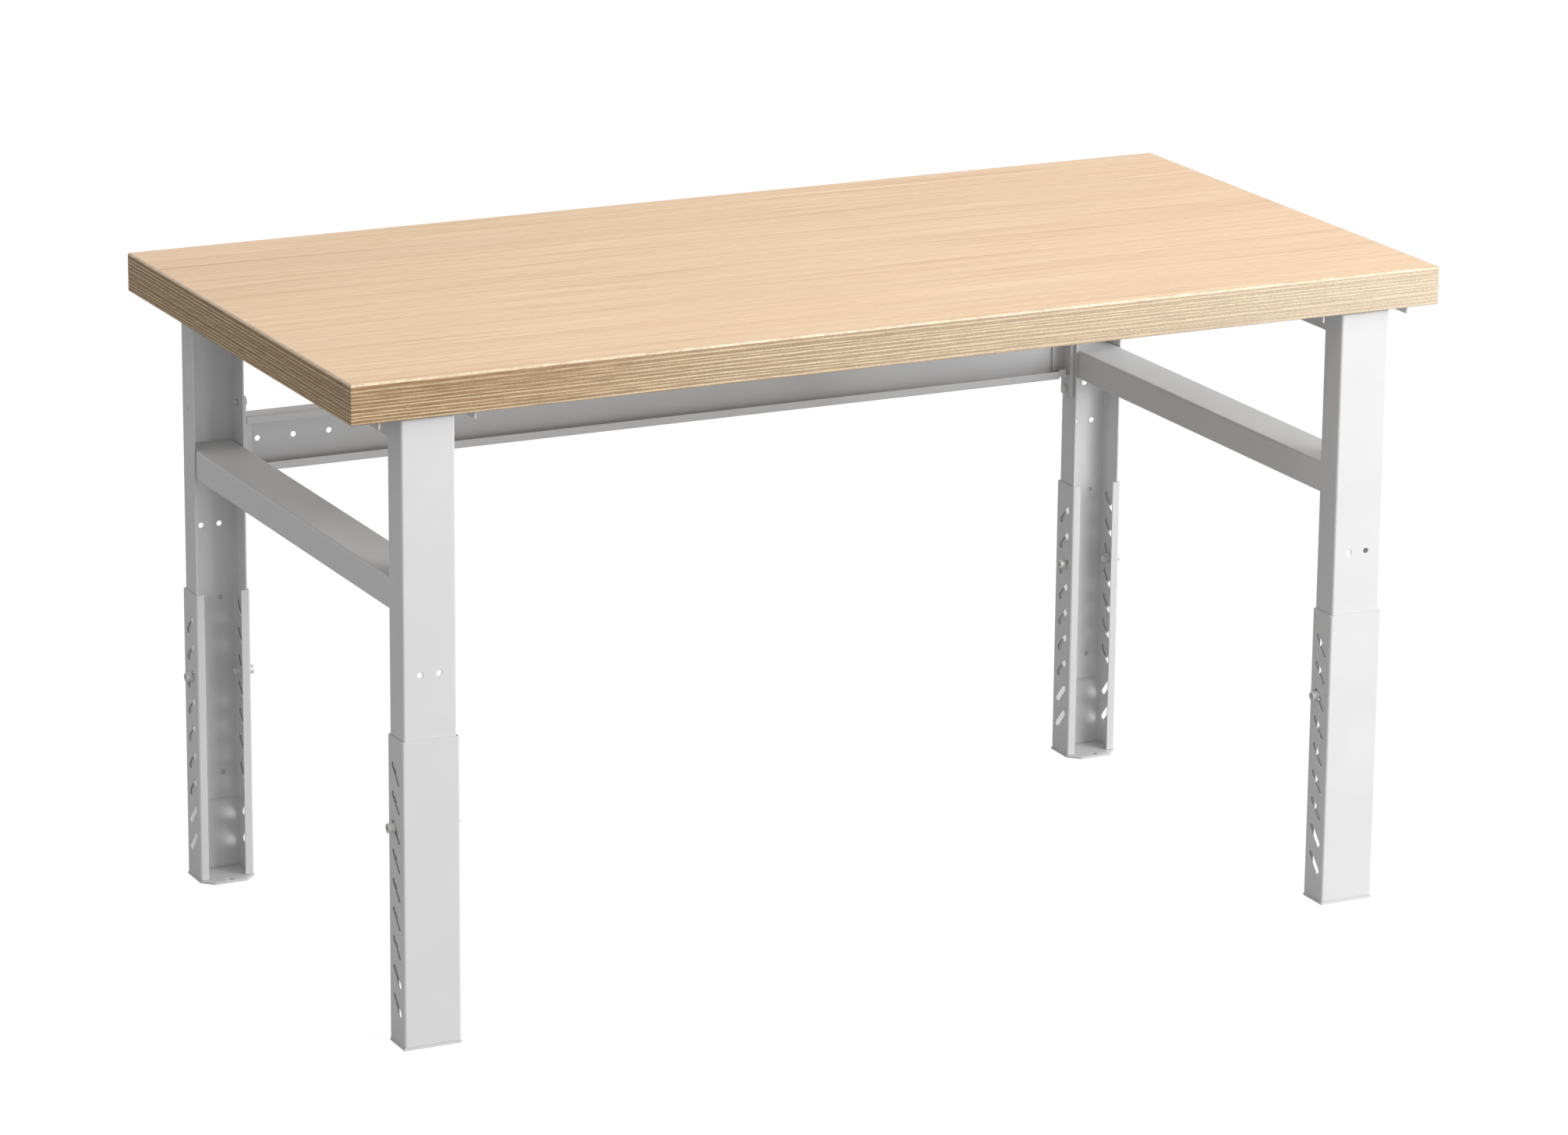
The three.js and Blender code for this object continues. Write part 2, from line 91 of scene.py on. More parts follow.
CLAMP = {"shank": 8 * MM, "head": 12 * MM, "head_height": 9 * MM, "socket": 6 * MM,
         "socket_depth": 4 * MM, "nut": 13 * MM, "pitch": 1.25 * MM}
SMALL_BOLT = {"shank": 6 * MM, "head": 10 * MM, "head_height": 4 * MM, "pitch": 1.0 * MM}
THREAD = {"depth": 0.61, "lead_in": 0.3, "steps": 8}  # in pitches, and loops to a pitch
NUT_PLAY = 0.15 * MM
ROUND_STEPS = 48  # a multiple of 6, so that hexagons keep their corners

WORKTOP_ROUND = {"top": 3 * MM, "other": 1 * MM}  # its upper edges, and all the others
WORKTOP_ROUND_STEPS = 6

SIDES = ("left", "right")
ENDS = ("front", "rear")
LEVELS = ("lower", "upper")
LEGS = [f"{end}_{side}" for end in ENDS for side in SIDES]
SCREWS_PER_SIDE = 4

# ---------------------------------------------------------------- outlines


def arc(cx, cy, radius, start, end, steps):
    angles = [start + (end - start) * i / steps for i in range(steps + 1)]
    return [(cx + radius * math.cos(a), cy + radius * math.sin(a)) for a in angles]


def circle(cx, cy, diameter, steps=HOLE_STEPS):
    return arc(cx, cy, diameter / 2, 0, 2 * math.pi, steps)[:-1]


def bent_sheet(path, sheet, bend):
    """A bent sheet's closed outline. The path is its outer face, and turns left at each corner."""
    points = [Vector(p) for p in path]
    outer, inner = [points[0]], [points[0] + left_of(points[0], points[1]) * sheet]
    for before, corner, after in zip(points, points[1:], points[2:]):
        incoming = (corner - before).normalized()
        outgoing = (after - corner).normalized()
        centre = corner + bend * (outgoing - incoming)
        for step in range(BEND_STEPS + 1):
            angle = step / BEND_STEPS * math.pi / 2
            away = incoming * math.sin(angle) - outgoing * math.cos(angle)
            outer.append(centre + away * bend)
            inner.append(centre + away * (bend - sheet))
    outer.append(points[-1])
    inner.append(points[-1] + left_of(points[-2], points[-1]) * sheet)
    return [tuple(p) for p in outer + inner[::-1]]


def left_of(start, end):
    along = (end - start).normalized()
    return Vector((-along.y, along.x))


def rounded_rectangle(half_width, half_height, radius):
    x, y = half_width - radius, half_height - radius
    corners = [(-x, -y, math.pi), (x, -y, -math.pi / 2), (x, y, 0), (-x, y, math.pi / 2)]
    return [p for cx, cy, start in corners
            for p in arc(cx, cy, radius, start, start + math.pi / 2, BEND_STEPS)]


def slot_outline(lean, grow):
    """One diagonal slot about the origin, x across the flange and y up it."""
    half = math.hypot(SLOT["run"], SLOT["rise"]) / 2
    angle = math.atan2(SLOT["rise"], lean * SLOT["run"])
    radius = SLOT["width"] / 2 + grow
    quarter = math.pi / 2
    straight = arc(half, 0, radius, -quarter, quarter, SLOT_END_STEPS)
    straight += arc(-half, 0, radius, quarter, 3 * quarter, SLOT_END_STEPS)
    cos, sin = math.cos(angle), math.sin(angle)
    return [(x * cos - y * sin, x * sin + y * cos) for x, y in straight]


# ---------------------------------------------------------------- meshes

ALONG_X = Matrix(((0, 0, 1, 0), (1, 0, 0, 0), (0, 1, 0, 0), (0, 0, 0, 1)))  # outline in Y and Z
ALONG_Y = Matrix(((1, 0, 0, 0), (0, 0, -1, 0), (0, 1, 0, 0), (0, 0, 0, 1)))  # outline in X and Z
MIRROR_X = Matrix.Scale(-1, 4, (1, 0, 0))


def prism(outline, start, end, turn=Matrix.Identity(4)):
    """A closed prism from start to end along Z, then turned."""
    bm = bmesh.new()
    low = [bm.verts.new((x, y, start)) for x, y in outline]
    high = [bm.verts.new((x, y, end)) for x, y in outline]
    bm.faces.new(low)
    bm.faces.new(high)
    for i in range(len(outline)):
        j = (i + 1) % len(outline)
        bm.faces.new((low[i], low[j], high[j], high[i]))
    return closed_mesh(bm, turn)


def drill(outline_at, low, high, turn=Matrix.Identity(4)):
    """A cutter for the sheet between low and high, which leaves both rims of its hole rounded.

    outline_at gives the hole's outline when it is grown by some distance.
    """
    rim = []
    for step in range(RIM_STEPS + 1):
        angle = RIM_START + (math.pi / 2 - RIM_START) * step / RIM_STEPS
        rim.append((RIM_ROUND * (1 - math.cos(angle)), RIM_ROUND * (1 - math.sin(angle))))
    (depth, grow), away = rim[0], 0.1 * MM
    rim.insert(0, (depth - away, grow + away / math.tan(RIM_START)))
    levels = [(low + depth, grow) for depth, grow in rim]
    levels += [(high - depth, grow) for depth, grow in reversed(rim)]
    return stack([[(x, y, z) for x, y in outline_at(grow)] for z, grow in levels], turn)


def block(low, high):
    (x0, y0, z0), (x1, y1, z1) = low, high
    return prism([(x0, y0), (x1, y0), (x1, y1), (x0, y1)], z0, z1)


def stack(loops, turn=Matrix.Identity(4), ring=False):
    """A closed skin over loops of points, one after the other. A ring joins last to first."""
    bm = bmesh.new()
    rows = [[bm.verts.new(p) for p in loop] for loop in loops]
    pairs = list(zip(rows, rows[1:] + rows[:1] if ring else rows[1:]))
    for a, b in pairs:
        for i in range(len(a)):
            j = (i + 1) % len(a)
            bm.faces.new((a[i], a[j], b[j], b[i]))
    if not ring:
        bm.faces.new(rows[0])
        bm.faces.new(rows[-1])
    return closed_mesh(bm, turn)


def closed_mesh(bm, turn):
    bmesh.ops.transform(bm, matrix=turn, verts=bm.verts)
    bmesh.ops.recalc_face_normals(bm, faces=bm.faces)
    for face in bm.faces:
        face.smooth = True
    mesh = bpy.data.meshes.new("part")
    bm.to_mesh(mesh)
    bm.free()
    return mesh


def merged(meshes):
    bm = bmesh.new()
    for mesh in meshes:
        bm.from_mesh(mesh)
    mesh = bpy.data.meshes.new("part")
    bm.to_mesh(mesh)
    bm.free()
    return mesh


def scratch_object(mesh):
    made = bpy.data.objects.new("scratch", mesh)
    bpy.context.scene.collection.objects.link(made)
    return made


def add_boolean(target, operation, mesh):
    tool = scratch_object(mesh)
    modifier = target.modifiers.new(operation, "BOOLEAN")
    modifier.operation = operation
    modifier.solver = "EXACT"
    modifier.object = tool
    return tool


def sheet_metal(mesh, cuts=(), joins=(), rounding=EDGE_ROUND):
    """The mesh with pieces joined to it and cut from it, and its edges rounded."""
    target = scratch_object(mesh)
    tools = [add_boolean(target, "UNION", extra) for extra in joins]
    if cuts:
        tools.append(add_boolean(target, "DIFFERENCE", merged(cuts)))
    bevel = target.modifiers.new("rounding", "BEVEL")
    bevel.width = rounding
    bevel.segments = 2
    bevel.limit_method = "ANGLE"
    bevel.angle_limit = SHARP_ANGLE
    bevel.use_clamp_overlap = False
    target.modifiers.new("shading", "WEIGHTED_NORMAL")
    evaluated = target.evaluated_get(bpy.context.evaluated_depsgraph_get())
    result = bpy.data.meshes.new_from_object(evaluated)
    for used in [target, *tools]:
        bpy.data.objects.remove(used)
    return result


def turned_part(mesh):
    """Smooth shading with crisp edges, for screws and nuts."""
    mesh.set_sharp_from_angle(angle=SHARP_ANGLE)
    return mesh


# ---------------------------------------------------------------- putting a piece on the frame


def middle(node):
    low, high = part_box(node)
    return (low + high) / 2


def body_of(node):
    bodies = frame["record"]["behaviour"]["bodies"]
    return next(name for name, nodes in bodies.items() if node in nodes)


def put(node, mesh, material, place=Matrix.Identity(4)):
    """A fine piece that stands for a CAD node and moves with its body."""
    own = mesh.copy()
    own.transform(place)
    own.materials.clear()
    own.materials.append(material)
    piece = bpy.data.objects.new(f"fine_{node}", own)
    bpy.context.scene.collection.objects.link(piece)
    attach(piece, body_of(node))
    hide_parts(node)
    return piece


# ---------------------------------------------------------------- shader nodes


def new_material(name):
    material = bpy.data.materials.new(name)
    material.use_nodes = True
    tree = material.node_tree
    shader = tree.nodes["Principled BSDF"]
    return material, tree, shader


def add(tree, kind, inputs, **settings):
    """A shader node with its settings, and its inputs set or linked."""
    made = tree.nodes.new(f"ShaderNode{kind}")
    for name, value in settings.items():
        setattr(made, name, value)
    for socket, value in inputs.items():
        if isinstance(value, bpy.types.NodeSocket):
            tree.links.new(value, made.inputs[socket])
        else:
            made.inputs[socket].default_value = value
    return made


def math_node(tree, operation, a, b=0.0, c=0.0):
    return add(tree, "Math", {0: a, 1: b, 2: c}, operation=operation).outputs[0]


def stretched(tree, point, scale):
    """The point with each axis scaled, so that a pattern is stretched along the others."""
    return add(tree, "VectorMath", {0: point, 1: scale}, operation="MULTIPLY").outputs[0]


def noise(tree, point, scale=1.0, detail=2.0, roughness=0.5):
    inputs = {"Vector": point, "Scale": scale, "Detail": detail, "Roughness": roughness}
    return add(tree, "TexNoise", inputs).outputs["Fac"]


def ramp(tree, value, stops):
    """A colour ramp. Its stops are (position, colour or grey value)."""
    made = add(tree, "ValToRGB", {"Fac": value})
    elements = made.color_ramp.elements
    while len(elements) < len(stops):
        elements.new(0.5)
    for element, (position, colour) in zip(elements, stops):
        element.position = position
        element.color = (*colour, 1) if isinstance(colour, tuple) else (colour, colour, colour, 1)
    return made.outputs["Color"]


def mixed(tree, factor, a, b, blend="MIX"):
    """Two colours mixed. A Mix node's colours go in at sockets 6 and 7, and come out at 2."""
    made = tree.nodes.new("ShaderNodeMix")
    made.data_type = "RGBA"
    made.blend_type = blend
    for socket, value in ((made.inputs[0], factor), (made.inputs[6], a), (made.inputs[7], b)):
        if isinstance(value, bpy.types.NodeSocket):
            tree.links.new(value, socket)
        else:
            socket.default_value = value
    return made.outputs[2]


def bump(tree, height, strength, distance):
    inputs = {"Height": height, "Strength": strength, "Distance": distance}
    return add(tree, "Bump", inputs).outputs["Normal"]


def position(tree):
    """The point's place in the row frame at rest."""
    return add(tree, "TexCoord", {}).outputs["Object"]


# ---------------------------------------------------------------- materials

PAINT_GREY = (0.66, 0.66, 0.665)
PAINT_GREY_LOW = (0.63, 0.63, 0.635)


def powder_coat():
    """Light grey powder coat: a satin skin with fine orange peel and faint mottling."""
    material, tree, shader = new_material("powder_coat")
    point = position(tree)
    mottle = noise(tree, point, scale=9, detail=3)
    colour = ramp(tree, mottle, [(0.3, PAINT_GREY_LOW), (0.7, PAINT_GREY)])
    peel = noise(tree, point, scale=900, detail=2)
    haze = noise(tree, point, scale=30, detail=4)
    tree.links.new(colour, shader.inputs["Base Color"])
    tree.links.new(ramp(tree, haze, [(0.3, 0.42), (0.7, 0.5)]), shader.inputs["Roughness"])
    tree.links.new(bump(tree, peel, 0.12, 0.1 * MM), shader.inputs["Normal"])
    shader.inputs["Specular IOR Level"].default_value = 0.4
    return material


def zinc_plate():
    """Dull zinc plating, slightly uneven, with fine scratches in its roughness."""
    material, tree, shader = new_material("zinc_plate")
    point = position(tree)
    cloud = noise(tree, point, scale=160, detail=4)
    colour = ramp(tree, cloud, [(0.3, (0.66, 0.66, 0.65)), (0.7, (0.78, 0.78, 0.77))])
    scratch = noise(tree, stretched(tree, point, (300, 2500, 2500)), detail=2)
    tree.links.new(colour, shader.inputs["Base Color"])
    tree.links.new(ramp(tree, scratch, [(0.3, 0.38), (0.7, 0.52)]), shader.inputs["Roughness"])
    tree.links.new(bump(tree, scratch, 0.1, 0.05 * MM), shader.inputs["Normal"])
    shader.inputs["Metallic"].default_value = 0.25
    return material


def wandering(tree, point, axis, drift, width):
    """The point moved along one axis by up to half the width either way, as the drift says."""
    amount = math_node(tree, "MULTIPLY_ADD", drift, width, -width / 2)
    offset = add(tree, "CombineXYZ", {axis: amount}).outputs[0]
    return add(tree, "VectorMath", {0: point, 1: offset}, operation="ADD").outputs[0]


# The numbers given to stretched() below are a pattern's cells per metre along X, Y and Z.

GRAIN_STOPS = (0.28, 0.42, 0.55, 0.72)
FACE_TONES = ((0.680, 0.485, 0.318), (0.770, 0.565, 0.388), (0.810, 0.605, 0.425), (0.860, 0.665, 0.480))
BACK_TONES = ((0.600, 0.520, 0.430), (0.660, 0.590, 0.500), (0.690, 0.620, 0.530), (0.730, 0.660, 0.570))
GRAIN_WANDER = 60 * MM
STRIPES = {"per_metre": 225.0, "wander": 4 * MM, "spread": 1.7}
# Painted sheen: the sides' colour is mixed toward pale cream along +X, standing in for the gloss that the
# light lays on their right end.
PAINTED_SHEEN_TO_THE_RIGHT = {"per_metre": 0.667, "middle": 0.5, "stops": [(0.05, 0.0), (1.0, 0.5)]}


def wood_face(name, tones):
    """A broad face of the worktop: pale veneer with long, slightly wandering grain lines along X."""
    material, tree, shader = new_material(name)
    point = position(tree)
    drift = noise(tree, stretched(tree, point, (1.1, 3, 3)), detail=2)
    wavy = wandering(tree, point, "Y", drift, GRAIN_WANDER)

    grain = noise(tree, stretched(tree, wavy, (2.0, 110, 110)), detail=4, roughness=0.68)
    lines = noise(tree, stretched(tree, wavy, (1.6, 150, 150)), detail=2, roughness=0.5)
    pore = noise(tree, stretched(tree, wavy, (55, 380, 380)), detail=2)
    tone = noise(tree, stretched(tree, wavy, (0.9, 7, 7)), detail=2)

    white = (1.0, 1.0, 1.0)
    colour = ramp(tree, grain, list(zip(GRAIN_STOPS, tones)))
    for value, amount, shade, low, high in (
        (lines, 0.36, (0.66, 0.53, 0.42), 0.30, 0.39),
        (pore, 0.16, (0.52, 0.40, 0.30), 0.32, 0.58),
        (tone, 0.13, (0.60, 0.56, 0.52), 0.30, 0.70),
    ):
        darker = ramp(tree, value, [(low, shade), (high, white)])
        colour = mixed(tree, amount, colour, darker, "MULTIPLY")
    tree.links.new(colour, shader.inputs["Base Color"])

    relief = mixed(tree, 0.4, grain, pore)
    tree.links.new(ramp(tree, grain, [(0.3, 0.92), (0.7, 0.80)]), shader.inputs["Roughness"])
    tree.links.new(bump(tree, relief, 0.3, 0.2 * MM), shader.inputs["Normal"])
    shader.inputs["Specular IOR Level"].default_value = 0.12
    return material


def wood_edge():
    """The worktop's sides: many thin glued layers, seen as cream and brown stripes, under a painted sheen
    that pales them toward the right end.
    """
    material, tree, shader = new_material("wood_edge")
    point = position(tree)
    drift = noise(tree, stretched(tree, point, (2.5, 2.5, 14)), detail=3)
    wavy = wandering(tree, point, "Z", drift, STRIPES["wander"])
    height = add(tree, "SeparateXYZ", {0: wavy}).outputs["Z"]

    spread = noise(tree, stretched(tree, wavy, (0.4, 0.4, 90)), detail=1)
    even = math_node(tree, "MULTIPLY", height, STRIPES["per_metre"])
    turns = math_node(tree, "MULTIPLY_ADD", spread, STRIPES["spread"], even)
    wave = math_node(tree, "SINE", math_node(tree, "MULTIPLY", turns, 2 * math.pi))
    stripe = ramp(tree, math_node(tree, "MULTIPLY_ADD", wave, 0.5, 0.5), [(0.45, 0.0), (0.9, 1.0)])
    strength = ramp(tree, noise(tree, stretched(tree, point, (1.5, 1.5, 70)), detail=2),
                    [(0.28, 0.3), (0.52, 1.0)])
    fibre = noise(tree, stretched(tree, wavy, (28, 28, 700)), detail=3, roughness=0.6)
    fleck = noise(tree, stretched(tree, point, (330, 330, 850)), detail=2)

    brown = ramp(tree, fibre, [(0.30, (0.235, 0.130, 0.058)), (0.50, (0.345, 0.205, 0.102)),
                               (0.70, (0.430, 0.268, 0.142))])
    cream = ramp(tree, fibre, [(0.30, (0.480, 0.350, 0.200)), (0.60, (0.720, 0.575, 0.370))])
    colour = mixed(tree, math_node(tree, "MULTIPLY", stripe, strength), brown, cream)
    # Painted sheen: more and more pale cream is mixed in toward +X, in place of the light's gloss on the
    # right end.
    slope, middle_value = PAINTED_SHEEN_TO_THE_RIGHT["per_metre"], PAINTED_SHEEN_TO_THE_RIGHT["middle"]
    along = add(tree, "SeparateXYZ", {0: point}).outputs["X"]
    along = math_node(tree, "MULTIPLY_ADD", along, slope, middle_value)
    painted_sheen = ramp(tree, along, PAINTED_SHEEN_TO_THE_RIGHT["stops"])
    colour = mixed(tree, painted_sheen, colour, (0.86, 0.76, 0.60, 1))
    colour = mixed(tree, 0.26, colour, ramp(tree, fleck, [(0.36, 0.3), (0.58, 1.0)]), "MULTIPLY")
    tree.links.new(colour, shader.inputs["Base Color"])

    tree.links.new(ramp(tree, fibre, [(0.3, 0.50), (0.7, 0.38)]), shader.inputs["Roughness"])
    tree.links.new(bump(tree, mixed(tree, 0.5, fibre, fleck), 0.6, 0.5 * MM), shader.inputs["Normal"])
    shader.inputs["Specular IOR Level"].default_value = 0.4
    return material


def wood_arris():
    """The rounded upper edge: the veneer wraps over it, and its lacquer glints in broken dots."""
    material, tree, shader = new_material("wood_arris")
    point = position(tree)
    fibre = noise(tree, stretched(tree, point, (60, 60, 300)), detail=3)
    grit = noise(tree, stretched(tree, point, (240, 240, 520)), detail=2)
    colour = ramp(tree, fibre, [(0.3, (0.600, 0.430, 0.270)), (0.7, (0.800, 0.620, 0.430))])
    tree.links.new(colour, shader.inputs["Base Color"])
    tree.links.new(ramp(tree, grit, [(0.35, 0.30), (0.65, 0.12)]), shader.inputs["Roughness"])
    tree.links.new(bump(tree, grit, 1.0, 0.8 * MM), shader.inputs["Normal"])
    shader.inputs["Specular IOR Level"].default_value = 0.9
    return material


PAINT = powder_coat()
ZINC = zinc_plate()
WOOD_FACE = wood_face("wood_face", FACE_TONES)
WOOD_BACK = wood_face("wood_back", BACK_TONES)
WOOD_EDGE = wood_edge()
WOOD_ARRIS = wood_arris()

# ---------------------------------------------------------------- the legs
# Leg pieces are drawn with the channel's web face at y = 0 and its open side toward +Y.


def leg_place(label):
    """From the leg's own frame to the row frame."""
    low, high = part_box(f"upper_leg_{label}")
    is_rear = label.startswith("rear")
    web = Vector(((low.x + high.x) / 2, high.y if is_rear else low.y, 0))
    return Matrix.Translation(web) @ Matrix.Rotation(math.pi if is_rear else 0, 4, "Z")


def local_box(node, place):
    corners = [place.inverted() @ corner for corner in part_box(node)]
    low = Vector([min(c[i] for c in corners) for i in range(3)])
    high = Vector([max(c[i] for c in corners) for i in range(3)])
    return low, high


def slot_cuts(ladder, top, depth, face):
    """The slots of both flanges, whose outer faces are at x = -face and x = face."""
    cuts = []
    for number in range(ladder["count"]):
        z = top - ladder["below_top"] - number * SLOT["pitch"]

        def outline_at(grow):
            return [(depth + x, z + y) for x, y in slot_outline(ladder["lean"], grow)]

        cuts += both_flanges(outline_at, face)
    return cuts


def both_flanges(outline_at, face):
    return [drill(outline_at, *sorted((side * face, side * (face - SHEET))), ALONG_X) for side in (-1, 1)]


def web_cut(diameter, x, z):
    """A drill through the web, whose outer face is at y = 0."""
    return drill(lambda grow: circle(x, z, diameter + 2 * grow), -SHEET, 0, ALONG_Y)


def web_pair(diameter, z):
    return [web_cut(diameter, side * PAIR_HOLES["span"] / 2, z) for side in (-1, 1)]


def upper_leg(label):
    place = leg_place(label)
    low, high = local_box(f"upper_leg_{label}", place)
    sleeve_low, sleeve_high = local_box(f"lower_sleeve_{label}", place)
    half, depth = high.x, high.y
    section = bent_sheet([(-half, depth), (-half, 0), (half, 0), (half, depth)], SHEET, BEND)
    cuts = slot_cuts(CHANNEL_LADDER, high.z, (sleeve_low.y + sleeve_high.y) / 2, half)
    cuts += web_pair(PAIR_HOLES["diameter"], PAIR_HOLES["height"])
    for height in LOCK_HOLES["heights"]:
        cuts += web_pair(LOCK_HOLES["diameter"], height)
    if label.startswith("rear"):
        cuts.append(web_cut(PANEL_HOLE["diameter"], 0, PANEL_HOLE["height"]))
        for level in LEVELS:
            height = middle(f"bracket_bolt_left_{level}").z
            cuts += both_flanges(
                lambda grow: circle(depth / 2, height, FLANGE_HOLE_DIAMETER + 2 * grow), half,
            )
    return sheet_metal(prism(section, low.z, high.z), cuts)


def lower_sleeve(label):
    low, high = local_box(f"lower_sleeve_{label}", leg_place(label))
    lip = high.x - SLEEVE_LIP
    section = bent_sheet(
        [(-lip, high.y), (-high.x, high.y), (-high.x, low.y),
         (high.x, low.y), (high.x, high.y), (lip, high.y)], SHEET, BEND,
    )
    cuts = slot_cuts(SLEEVE_LADDER, high.z, (low.y + high.y) / 2, high.x)
    return sheet_metal(prism(section, low.z, high.z), cuts)


def foot_plate(label):
    low, high = local_box(f"foot_plate_{label}", leg_place(label))
    corner = FOOT["corner"]
    outline = [(low.x, low.y), (high.x, low.y), (high.x, high.y - corner), (high.x - corner, high.y),
               (low.x + corner, high.y), (low.x, high.y - corner)]
    hole = circle(0, high.y - FOOT["hole_inset"], FOOT["hole"])
    return sheet_metal(prism(outline, low.z, high.z), [prism(hole, low.z - SHEET, high.z + SHEET)])


def build_legs():
    uprights = {end: upper_leg(f"{end}_left") for end in ENDS}
    sleeve = lower_sleeve("front_left")
    foot = foot_plate("front_left")
    for label in LEGS:
        place = leg_place(label)
        put(f"upper_leg_{label}", uprights[label.split("_")[0]], PAINT, place)
        put(f"lower_sleeve_{label}", sleeve, PAINT, place)
        put(f"foot_plate_{label}", foot, PAINT, place)


# ---------------------------------------------------------------- screws and nuts
# A screw lies along X with its tip at x = 0 and its head at the far end.

ANGLES = [2 * math.pi * i / ROUND_STEPS for i in range(ROUND_STEPS)]


def round_loop(x, radius):
    return [(x, radius * math.cos(a), radius * math.sin(a)) for a in ANGLES]


def hex_radius(angle, across_flats):
    """How far a hexagon reaches at this angle, with corners at 0, 60, 120 degrees and so on."""
    from_flat = angle % (math.pi / 3) - math.pi / 6
    return across_flats / 2 / math.cos(from_flat)


def hex_loop(x, across_flats, limit=math.inf):
    """A hexagon at x, with its corners turned off at the limiting radius."""
    radii = [min(hex_radius(a, across_flats), limit) for a in ANGLES]
    return [(x, r * math.cos(a), r * math.sin(a)) for a, r in zip(ANGLES, radii)]


def thread_loops(start, end, diameter, pitch):
    """A helical thread, as loops a small part of its pitch apart."""
    steps = max(1, round((end - start) / pitch * THREAD["steps"]))
    loops = []
    for i in range(steps + 1):
        x = start + (end - start) * i / steps
        loop = []
        for a in ANGLES:
            turn = (x / pitch - a / (2 * math.pi)) % 1
            radius = diameter / 2 - THREAD["depth"] * pitch * (1 - abs(2 * turn - 1))
            loop.append((x, radius * math.cos(a), radius * math.sin(a)))
        loops.append(loop)
    return loops


def shank_loops(length, diameter, pitch):
    core = diameter / 2 - THREAD["depth"] * pitch
    return [round_loop(0, core), *thread_loops(THREAD["lead_in"] * pitch, length, diameter, pitch)]


def socket_screw(length):
    """A cap screw with a round head and a hexagonal socket."""
    radius, top = CLAMP["head"] / 2, length
    seat = length - CLAMP["head_height"]
    chamfer = 0.6 * MM
    return turned_part(stack([
        *shank_loops(seat, CLAMP["shank"], CLAMP["pitch"]),
        round_loop(seat, radius - chamfer / 2),
        round_loop(seat + chamfer / 2, radius),
        *[round_loop(top - chamfer + x, radius - chamfer + y)
          for y, x in arc(0, 0, chamfer, 0, math.pi / 2, 4)],
        round_loop(top, CLAMP["socket"] / math.sqrt(3) + chamfer / 2),
        hex_loop(top - chamfer / 2, CLAMP["socket"]),
        hex_loop(top - CLAMP["socket_depth"], CLAMP["socket"]),
    ]))


def hex_screw(length):
    """A small bolt with a chamfered hexagonal head."""
    flats, chamfer = SMALL_BOLT["head"], 0.5 * MM
    seat = length - SMALL_BOLT["head_height"]
    return turned_part(stack([
        *shank_loops(seat, SMALL_BOLT["shank"], SMALL_BOLT["pitch"]),
        hex_loop(seat, flats, flats / 2),
        hex_loop(seat + chamfer, flats),
        hex_loop(length - chamfer, flats),
        hex_loop(length, flats, flats / 2),
    ]))


def hex_nut(height, across_flats, shank):
    chamfer = 0.16 * height
    bore = shank / 2 + NUT_PLAY
    return turned_part(stack([
        hex_loop(0, across_flats, across_flats / 2),
        hex_loop(chamfer, across_flats),
        hex_loop(height - chamfer, across_flats),
        hex_loop(height, across_flats, across_flats / 2),
        round_loop(height, bore + chamfer / 2),
        round_loop(height - chamfer / 2, bore),
        round_loop(chamfer / 2, bore),
        round_loop(0, bore + chamfer / 2),
    ], ring=True))


def on_axis(node, outward):
    """Puts a screw or nut drawn along X into its node's box, with its head toward outward in X."""
    low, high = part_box(node)
    centre = (low + high) / 2
    start = Vector((low.x if outward > 0 else high.x, centre.y, centre.z))
    return Matrix.Translation(start) @ Matrix.Rotation(0 if outward > 0 else math.pi, 4, "Z")


def length_of(node, axis=0):
    low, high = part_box(node)
    return high[axis] - low[axis]


def build_clamps():
    sample = "front_left_outer"
    bolt = socket_screw(length_of(f"clamp_bolt_{sample}"))
    nut = hex_nut(length_of(f"clamp_nut_{sample}"), CLAMP["nut"], CLAMP["shank"])
    for leg in LEGS:
        leg_x = middle(f"upper_leg_{leg}").x
        for flange in ("outer", "inner"):
            bolt_node, nut_node = f"clamp_bolt_{leg}_{flange}", f"clamp_nut_{leg}_{flange}"
            outward = middle(bolt_node).x - leg_x
            put(bolt_node, bolt, ZINC, on_axis(bolt_node, outward))
            put(nut_node, nut, ZINC, on_axis(nut_node, outward))


def build_bracket_bolts():
    bolt = hex_screw(length_of("bracket_bolt_left_lower"))
    nut = hex_nut(length_of("bracket_nut_left_lower"), SMALL_BOLT["head"], SMALL_BOLT["shank"])
    for side, inward in (("left", 1), ("right", -1)):
        for level in LEVELS:
            bolt_node, nut_node = f"bracket_bolt_{side}_{level}", f"bracket_nut_{side}_{level}"
            put(bolt_node, bolt, ZINC, on_axis(bolt_node, inward))
            put(nut_node, nut, ZINC, on_axis(nut_node, inward))


def build_top_screws():
    screw = hex_screw(length_of("top_screw_left_1", axis=2))
    head_down = Matrix.Rotation(math.pi / 2, 4, "Y")
    for side in SIDES:
        for number in range(1, SCREWS_PER_SIDE + 1):
            node = f"top_screw_{side}_{number}"
            low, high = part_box(node)
            tip = Vector(((low.x + high.x) / 2, (low.y + high.y) / 2, high.z))
            put(node, screw, ZINC, Matrix.Translation(tip) @ head_down)


# ---------------------------------------------------------------- side frames


